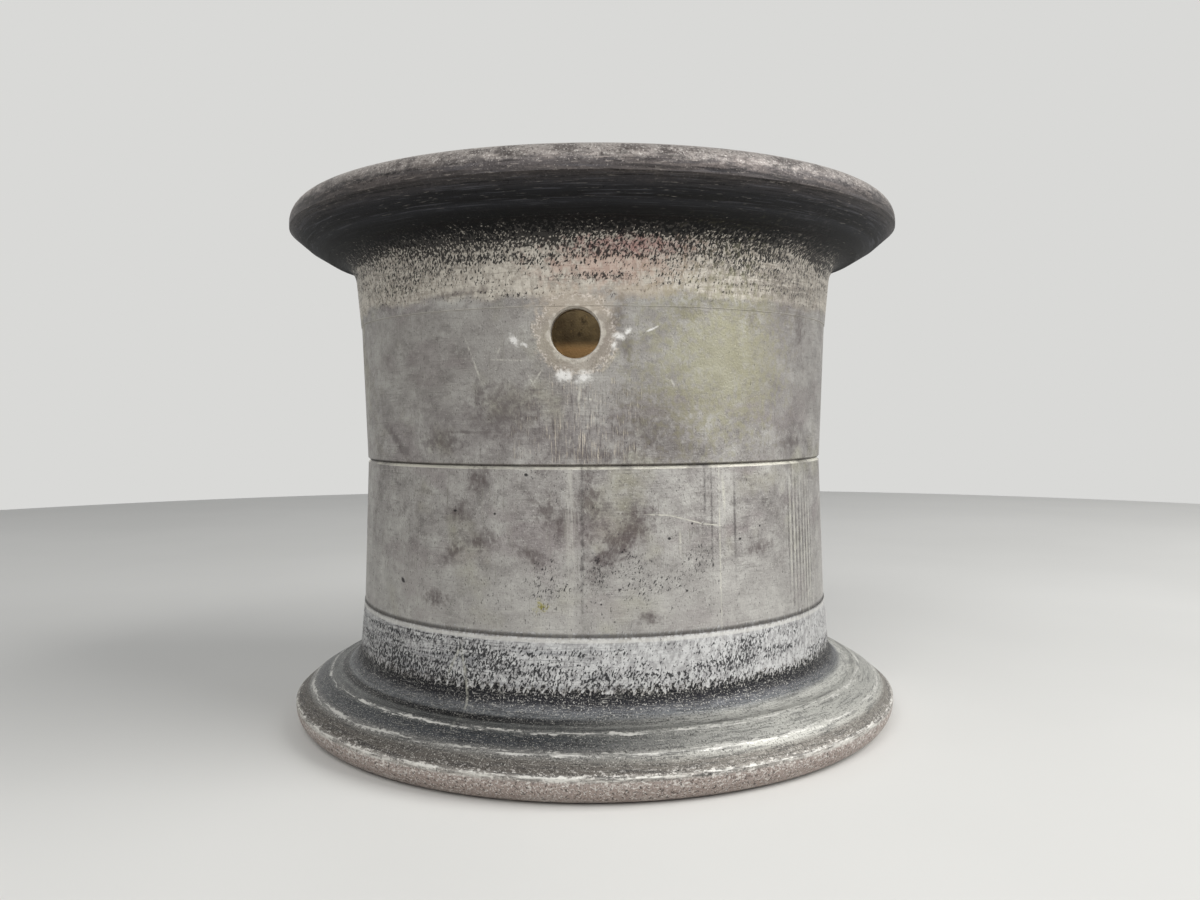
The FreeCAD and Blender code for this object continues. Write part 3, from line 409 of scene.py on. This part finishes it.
# marks on the barrel: scattered stains, and a smear that leans to the right
colour = marked(tree, here, colour, "#574E4D", 0.74, [
    (-6.8, 68.6, 4.4, 3.4, -35), (-4.4, 65.5, 1.6, 3.6, 10), (-11.8, 57.5, 3.6, 1.6, -25),
    (-35, 57.5, 3.4, 1.5, 35), (-25.5, 60.6, 3.6, 2.0, 0), (-40.8, 44.4, 3.4, 1.6, 0),
    (3.0, 70.0, 3.2, 8.0, 0), (18.5, 41.2, 2.6, 1.2, 0), (-27.0, 77.0, 2.5, 3.0, 0),
    (53.0, 57.5, 4.0, 1.2, 10), (-33, 68.5, 3, 2.2, 20)], 0.6, 0.95, "tall", 0.9, 0.22, 0.55)
colour = marked(tree, here, colour, "#554B4B", 0.80, [
    (12.0, 61.6, 10.0, 2.9, 47), (15.0, 65.0, 6.0, 3.2, 50), (8.8, 57.6, 4.6, 2.6, 40)],
    0.5, 0.8, "leaning", 0.8, 0.18, 0.52)
# upright scratches, dark and bright, with a comb of eight on the right
comb = [66.5 + 2.1 * k for k in range(8)]
colour = marked(tree, here, colour, "#423E3E", 0.62, [
    (44.0, 65.5, 0.35, 12, 0), (1.4, 62.0, 0.4, 17, 0), (34.5, 74.0, 0.3, 6, 0),
    (36.6, 67.0, 0.25, 12, 0)]
    + [(arc, 60.0 - k, 0.36, 14 + 4 * (k % 2), 0) for k, arc in enumerate(comb)],
    0.3, 0.9, "tall", 1.1, 0.32, 0.55)
colour = marked(tree, here, colour, "#C9C7BA", 0.62, [
    (39.0, 58.5, 0.18, 20, 0), (40.4, 73.0, 0.4, 4.2, 3), (-33.5, 29.0, 0.35, 4.2, -25),
    (-30.0, 25.5, 0.35, 7.6, 13), (27.2, 61.0, 0.25, 2.4, 0)]
    + [(arc + 1.1, 60.0 - k, 0.32, 13 + 4 * (k % 2), 0) for k, arc in enumerate(comb[:7])],
    0.25, 0.9, "tall", 1.0, 0.34, 0.58)
# a faint, broad stripe down the front
colour = marked(tree, here, colour, "#BDBAB2", 0.5, [(-1.7, 62.0, 1.1, 20, 0)],
                0.25, 0.9, "run", 0.4, 0.36, 0.58)
# a thin scratch that curves down to the right
colour = marked(tree, here, colour, "#D6D4C6", 0.70, [
    (21.5, 67.7, 3.0, 0.14, -3), (26.6, 66.9, 2.6, 0.13, -14), (31.4, 65.6, 2.8, 0.13, -16),
    (36.6, 64.6, 3.0, 0.13, -8)], 0.12, 0.9, "mm", 0.7, 0.30, 0.48)
# pits: single ones, fields of fine ones, and stray ones that thicken low on the barrel
pits = marks(tree, here, [
    (-13.3, 78.3, 0.40, 0.34, 0), (-54.9, 47.8, 0.9, 0.6, -40), (45.7, 60.3, 0.5, 0.34, 0),
    (53.1, 63.3, 0.34, 0.3, 0), (24.2, 61.5, 0.34, 0.3, 0), (30.7, 65.2, 0.32, 0.3, 0),
    (28.9, 47.7, 0.32, 0.3, 0), (6.2, 45.0, 0.32, 0.3, 0), (-34.4, 68.4, 0.5, 0.25, 0),
    (-22.0, 68.0, 0.32, 0.3, 0)], 0.3, 0.35)
pitted = marks(tree, here, [
    (-7.4, 48.8, 5.0, 4.0, 30), (6.5, 53.0, 5.0, 3.4, 20), (14.0, 55.0, 4.0, 3.0, 0),
    (32.0, 55.0, 6.0, 3.0, 15), (-8.0, 54.5, 3.0, 2.4, 0), (20.0, 50.0, 8.0, 3.0, 0)], 0.9, 0.5)
pitted = add(tree, "Math", {"operation": "MULTIPLY"},
             {0: pitted, 1: patches(tree, here["leaning"], 0.42, 0.55, 0.61)})
pits = add(tree, "Math", {"operation": "MAXIMUM"}, {0: pits, 1: pitted})
low = band(tree, calm, (37, 39), (48, 62))
stray = patches(tree, here["tall"], 0.5, 0.68, 0.72, 2, (low, 0.03))
stray = add(tree, "Math", {"operation": "MULTIPLY"}, {0: stray, 1: 0.7})
pits = add(tree, "Math", {"operation": "MAXIMUM"}, {0: pits, 1: stray})
colour = lay(tree, colour, "#1E1D1E", pits, 0.92)
# one small yellow-green stain
colour = marked(tree, here, colour, "#9A933F", 0.6, [(-9.2, 44.2, 1.3, 1.1, 0)],
                0.9, 0.8, "mm", 0.6, 0.38, 0.56)
colour = inside_of_casting(tree, here, colour)

dark = add(tree, "Math", {"operation": "MAXIMUM"}, {0: rubber, 1: pits})
grain = patches(tree, here["mm"], 0.6, 0.2, 0.8, 5)
height = add(tree, "Math", {"operation": "MULTIPLY_ADD"}, {0: dark, 1: 0.9, 2: grain})
# the rubbed flange is smoother and its lip rougher than the barrel
rough = lay(tree, 0.44, 0.60, patches(tree, here["mm"], 4, 0.35, 0.65))
rough = lay(tree, rough, 0.40, band(tree, here["radius"], (78, 79), (91, 92)), 0.7)
rough = lay(tree, rough, 0.62, band(tree, here["radius"], (91, 92), (97, 98)), 0.8)
rough = lay(tree, rough, 0.72, dark)
dress(material, cast_surface(tree, colour, height, rough, dark), ["inboard_half"])

# ----------------------------------------------------------------------- outboard half
# Upper half, cast and machined like the lower one, with the hole for the valve stem in its
# barrel. Black paint and rubber still cover the underside of its flange, and painted shade darkens
# it further.

# the same old casting: grey oxide, nearly matt, but dark and a little glossy where paint is left,
# and darker still with painted shade under the flange
material, tree = new_material("oxidised_cast_magnesium_outboard")
here = wheel_coordinates(tree)
colour = oxidised_metal(tree, here)
depth = add(tree, "Math", {"operation": "SUBTRACT"}, {0: full_height, 1: here["z"]})
level = wandering(tree, depth, here["leaning"], 0.8, 2.8)
# bead seat: beige, with black specks that close up into solid black towards the flange
calm = wandering(tree, depth, here["wide"], 6, 1.5)
pale = lay(tree, linear("#CBC4B8"), "#A8A095", patches(tree, here["tall"], 1.2, 0.42, 0.60))
pale = speckled(tree, here, pale, 1.0, (("#8E877C", "long", 0.6, 0.52, 0.6),
                                        ("#DAD5CA", "tall", 0.45, 0.56, 0.6)))
colour = lay(tree, colour, pale, band(tree, calm, (15, 17), (32.4, 35.0)), 0.82)
# pink and red-brown tints in front, and a greyer right end smeared round the wheel
colour = marked(tree, here, colour, "#BB9688", 0.45, [(10, 132, 13, 4.5, 0)], 0.7, 0.9)
colour = marked(tree, here, colour, "#A0686A", 0.45, [(16, 136.6, 12, 1.8, 0)], 0.7, 0.9)
colour = marked(tree, here, colour, "#767068", 0.62, [(66, 128, 26, 7, 0)],
                0.5, 0.95, "long", 1.0, 0.30, 0.58)
close = add(tree, "MapRange", {}, {"Value": calm, "From Min": 36.0, "From Max": 17.0})
close = add(tree, "Math", {"operation": "POWER"}, {0: close, 1: 2.4})
clusters = patches(tree, here["dashed"], 3.2, 0.36, 0.66, 3)
close = add(tree, "Math", {"operation": "MULTIPLY_ADD"}, {0: clusters, 1: 0.32, 2: close})
rubber = patches(tree, here["leaning"], 0.52, 0.655, 0.70, 3, (close, 0.27))
rubber = add(tree, "Math", {"operation": "MULTIPLY"},
             {0: rubber, 1: band(tree, depth, (8, 10), (33.5, 36))})
# where the tyre's bead was pressed hardest, the specks lie in rows
rows = marks(tree, here, [
    (-26, 134.0, 24, 0.8, 0), (-12, 136.6, 20, 0.6, 0), (50, 131.5, 14, 1.5, -4),
    (12, 135.4, 14, 0.7, 0), (-52, 130.5, 16, 3.4, 8), (60, 127.5, 16, 1.2, -4),
    (4, 128.6, 9, 0.7, 0), (34, 134.6, 9, 0.8, 0)], 0.7, 0.8)
clotted = patches(tree, here["leaning"], 0.5, 0.50, 0.56, 3)
rows = add(tree, "Math", {"operation": "MULTIPLY"}, {0: rows, 1: clotted})
rubber = add(tree, "Math", {"operation": "MAXIMUM"}, {0: rubber, 1: rows})
colour = lay(tree, colour, "#131214", rubber, 0.93)

# flange, from the heel out to the lip: black paint and rubber with painted shade on the underside,
# then worn paint, then rubbed metal on top
outward = flange_tones(tree, here, [
    (75.6, "#060607"), (79.0, "#09090A"), (82.0, "#050506"), (86.0, "#08080A"),
    (88.2, "#222327"), (89.4, "#0E0E10"), (91.5, "#1B1B1E"), (93.2, "#323032"),
    (94.6, "#3E3B3B"), (95.3, "#474342")])
outer = band(tree, here["radius"], (84.0, 90.0), (98.0, 99.0))
outward = speckled(tree, here, outward, outer, (
    ("#5A5A60", "long", 0.8, 0.54, 0.45), ("#0B0B0C", "long", 1.1, 0.50, 0.70),
    ("#8A857F", "dashed", 0.5, 0.62, 0.60)))
top_of_lip = wandering(tree, depth, here["wide"], 1.2, 1.0)
lip = speckled(tree, here, linear("#4A4646"), 1.0, (
    ("#6C6460", "dashed", 1.6, 0.46, 0.65), ("#211F1F", "dashed", 1.1, 0.50, 0.85),
    ("#958C86", "dashed", 0.5, 0.57, 0.65), ("#252222", "mm", 0.6, 0.55, 0.75),
    ("#BAB2AB", "mm", 0.45, 0.60, 0.65)))
outward = lay(tree, outward, lip, band(tree, top_of_lip, from_start, (3.2, 10.5)), 0.92)
crown = speckled(tree, here, linear("#A09994"), 1.0, (
    ("#4F4846", "dashed", 0.9, 0.50, 0.75), ("#4F4846", "mm", 0.8, 0.52, 0.75),
    ("#DAD5CF", "mm", 0.5, 0.54, 0.80)))
outward = lay(tree, outward, crown, band(tree, top_of_lip, from_start, (1.4, 5.8)), 0.88)
flanged = band(tree, level, from_start, (17.2, 18.2))
colour = lay(tree, colour, outward, flanged)

# the step under the seat gets a faint painted highlight, which lightens the shade line its downward
# face throws
step_height = full_height - seat_step
step_highlight = band(tree, here["z"], (step_height - 0.3, step_height - 0.1),
            (step_height + 0.1, step_height + 0.3))
colour = lay(tree, colour, "#E4DED2", step_highlight, 0.28)
# the joint is a dark line, and the barrel above it is a little duller
joint = band(tree, here["z"], (joint_height - 1.4, joint_height - 0.4),
             (joint_height + 0.3, joint_height + 0.7))
colour = lay(tree, colour, "#1F1C1B", joint, 0.8)
colour = lay(tree, colour, "#85817C", band(tree, here["z"], (82, 100), (121, 123)), 0.32)
# valve hole: a beige disc with a broken bright rim, paler close to the hole and under the seat
valve_hole = (0.1, 114.3)      # its middle on the barrel, as arc and height
disc = marks(tree, here, [(*valve_hole, 10.6, 10.6, 0)], 0.10, 0.06)
colour = lay(tree, colour, "#9E9282", disc, 0.45)
colour = marked(tree, here, colour, "#B4A899", 0.5,
                [(0, 122.5, 10.5, 4.0, 0), (17, 125, 9, 1.8, 0)], 0.3, 0.4)
rim = add(tree, "Math", {"operation": "SUBTRACT"},
          {0: disc, 1: marks(tree, here, [(*valve_hole, 9.4, 9.4, 0)], 0.10, 0.10)})
colour = lay(tree, colour, "#D6CDC4", rim, patches(tree, here["mm"], 0.55, 0.47, 0.58), 0.75)
colour = marked(tree, here, colour, "#CFCAC0", 0.5, [(*valve_hole, 7.2, 7.2, 0)], 0.10, 0.06)
# broad, faint stains, darker ones over them, and a yellowish cloud to the right of the hole
colour = marked(tree, here, colour, "#7C7576", 0.32,
                [(-14, 89, 40, 8, 0), (60, 100, 9, 22, 0)], 0.8, 0.95)
colour = marked(tree, here, colour, "#574F4E", 0.60, [
    (-17, 94, 8, 5.5, 0), (-26, 97, 1.6, 4.5, 8), (-30.5, 89.3, 8, 0.4, 0),
    (-57, 85.5, 6.5, 1.2, -38), (20, 90, 8, 6.5, -20), (29, 120, 3, 2, 0), (49, 119, 1.6, 3, 0),
    (71, 118, 2, 4, 0), (10.7, 118.5, 1.2, 3.5, -10), (13, 110.5, 1.2, 2.6, 0),
    (70, 85.5, 6, 1.4, 0), (-38, 87, 5, 2.4, 0), (5, 83.5, 9, 1.6, 0),
    (-32, 125.6, 7, 0.8, 5)], 0.6, 0.95, "tall", 0.9, 0.20, 0.55)
colour = marked(tree, here, colour, "#999678", 0.55, [(39, 108, 16, 16, 0)], 0.7, 0.95)
# thin bright scratches
colour = marked(tree, here, colour, "#C9C6BC", 0.72, [
    (-27.5, 107.6, 0.25, 5.4, 22), (-20.2, 110.2, 0.22, 3.0, -25), (-17.5, 107.9, 4.0, 0.18, -3),
    (1.0, 99.2, 0.3, 3.2, -8), (4.0, 97.6, 2.6, 0.22, -12), (-9.8, 103.5, 2.2, 0.2, 55),
    (24.5, 103.0, 0.2, 3.0, 30), (-11.5, 102.6, 1.6, 0.18, -60), (1.9, 101.4, 0.2, 1.6, 24)],
    0.25, 0.9, "tall", 0.9, 0.40, 0.6)
# fine streaks run down from the valve hole to the joint
below_hole = marks(tree, here, [(2.5, 88, 12, 12, 0)], 0.8, 0.8)
for tint, size, start in (("#463F3F", 0.36, 0.53), ("#D3C9B8", 0.26, 0.56)):
    streaks = patches(tree, here["run"], size, start, 0.66, 3)
    colour = lay(tree, colour, tint, below_hole, streaks, 0.62)
# white corrosion crusted where the gasket of the valve sat
crust = marks(tree, here, [
    (-15.9, 113.0, 1.3, 0.9, -35), (-13.4, 111.8, 0.8, 0.5, -30), (-2.9, 103.7, 1.55, 1.45, 0),
    (2.0, 103.1, 1.8, 1.2, 8), (11.1, 113.6, 1.4, 0.75, 0), (13.3, 115.0, 1.1, 0.55, 50),
    (9.7, 111.4, 0.6, 1.1, -20), (19.6, 115.6, 1.2, 0.2, 25)], 0.55, 0.7)
crust = add(tree, "Math", {"operation": "MULTIPLY"},
            {0: crust, 1: patches(tree, here["mm"], 0.55, 0.28, 0.46)})
colour = lay(tree, colour, "#E2E0DC", crust, 0.92)
stray = patches(tree, here["tall"], 0.6, 0.70, 0.74, 2)
colour = lay(tree, colour, "#1E1D1E", stray, 0.65)
colour = inside_of_casting(tree, here, colour)
# dust lies inside the casting at the foot of the hub, and behind the valve hole a bright painted
# pool of light lies over it
dust_and_light_pool = band(tree, here["radius"], (34.5, 35.6), (66, 69))
colour = lay(tree, colour, "#B99B6A", dust_and_light_pool, band(tree, here["z"], (98, 100), (111.6, 114.4)),
             patches(tree, here["mm"], 5, 0.25, 0.60), 0.8)
# painted pool of light behind the valve hole, where light from above falls on the foot of the hub
colour = lay(tree, colour, "#EDC28A", dust_and_light_pool, band(tree, here["z"], (98, 100), (112.6, 115.8)),
             band(tree, here["x"], (-16, -9), (9, 16)), 0.9)

under_flange = band(tree, level, (9.0, 11.0), (17.8, 18.6))
dark = add(tree, "Math", {"operation": "MAXIMUM"}, {0: rubber, 1: under_flange})
grain = patches(tree, here["mm"], 0.6, 0.2, 0.8, 5)
height = add(tree, "Math", {"operation": "MULTIPLY_ADD"}, {0: rubber, 1: 0.9, 2: grain})
height = add(tree, "Math", {"operation": "MULTIPLY_ADD"}, {0: crust, 1: 1.5, 2: height})
rough = lay(tree, 0.44, 0.60, patches(tree, here["mm"], 4, 0.35, 0.65))
rough = lay(tree, rough, 0.50, band(tree, depth, from_start, (9, 13)), 0.9)
rough = lay(tree, rough, 0.66, dark)
rough = lay(tree, rough, 0.9, crust)
dull = add(tree, "Math", {"operation": "MAXIMUM"}, {0: dark, 1: crust})
dress(material, cast_surface(tree, colour, height, rough, dull), ["outboard_half"])

# ------------------------------------------------------- tie bolts, nuts and washers
# Three tie bolts hold the halves together, each with a self-locking nut and two washers, all
# of cadmium-plated steel. The plating has gone dull and straw-coloured, with dirt in corners.
def steel(name, nodes, clean, dull, dirt, roughness, dirty):
    """A bare or plated steel finish: clean and dull tones, dirt spots, and how rough each is."""
    material, tree = new_material(name)
    here = wheel_coordinates(tree)
    colour = lay(tree, linear(clean), dull, patches(tree, here["mm"], 2.5, 0.38, 0.62))
    colour = lay(tree, colour, dull, patches(tree, here["long"], 0.4, 0.45, 0.65), 0.5)
    spots = patches(tree, here["mm"], 1.4, dirty, dirty + 0.12)
    colour = lay(tree, colour, dirt, spots, 0.85)
    grain = patches(tree, here["mm"], 0.35, 0.2, 0.8)
    bump = add(tree, "Bump", {}, {"Strength": 0.15, "Distance": 0.00005, "Height": grain})
    rough = lay(tree, roughness, roughness + 0.16, patches(tree, here["mm"], 1.8, 0.35, 0.65))
    rough = lay(tree, rough, 0.75, spots)
    metal = lay(tree, 1.0, 0.2, spots)
    surface = add(tree, "BsdfPrincipled", {},
                  {"Base Color": colour, "Metallic": metal, "Roughness": rough, "Normal": bump})
    dress(material, surface, nodes)


# cadmium plate: silvery with a straw tint, satin rather than bright
steel("dulled_cadmium_plate", ["tie_bolts", "lock_nuts", "head_washers", "nut_washers"],
      "#B9B3A0", "#8F8873", "#3A3126", 0.34, 0.58)

# ------------------------------------------------------------------ tapered roller bearings
# Each hub carries a cup pressed in, a cone, and sixteen tapered rollers in a pressed cage:
# hardened, ground bearing steel under a thin brown film of old grease.
sides = ("inboard", "outboard")
races = [side + race for side in sides for race in ("_bearing_cup", "_bearing_cone")]
rollers = [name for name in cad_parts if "_roller_" in name]
cages = [side + "_bearing_cage" for side in sides]
# ground bearing steel: bright and smooth, stained a little by grease
steel("ground_bearing_steel", races + rollers, "#C9C9C7", "#ABA9A4", "#4F4331", 0.16, 0.60)
# pressed low-carbon steel: duller and greyer than the races
steel("pressed_cage_steel", cages, "#9E9B94", "#7E7A72", "#3F3526", 0.34, 0.56)

# -------------------------------------------------------------------------- grease seals
# A felt ring soaked in grease lies between two pressed steel rings, and a snap ring in the
# hub's groove keeps them in.
retainers = [side + ring for side in sides for ring in ("_inner_retainer", "_outer_retainer")]
snap_rings = [side + "_snap_ring" for side in sides]
# zinc plate: grey and satin, with dried grease in spots
steel("zinc_plated_rings", retainers, "#A5A5A3", "#84837F", "#3D352B", 0.36, 0.54)
# black oxide on spring steel: nearly black, a little rusty in spots
steel("black_oxide_spring_steel", snap_rings, "#4A4A4C", "#333335", "#5C3B22", 0.42, 0.60)

# wool felt: matted fibres, dark and heavy with grease, quite matt
material, tree = new_material("greased_wool_felt")
here = wheel_coordinates(tree)
fibres = patches(tree, here["tall"], 0.5, 0.35, 0.65)
colour = lay(tree, linear("#33281C"), "#57452F", fibres)
colour = lay(tree, colour, "#1D1712", patches(tree, here["mm"], 3.0, 0.50, 0.66))
bump = add(tree, "Bump", {}, {"Strength": 0.6, "Distance": 0.0003, "Height": fibres})
surface = add(tree, "BsdfPrincipled", {}, {"Base Color": colour, "Roughness": 0.88, "Normal": bump})
dress(material, surface, [side + "_seal_felt" for side in sides])
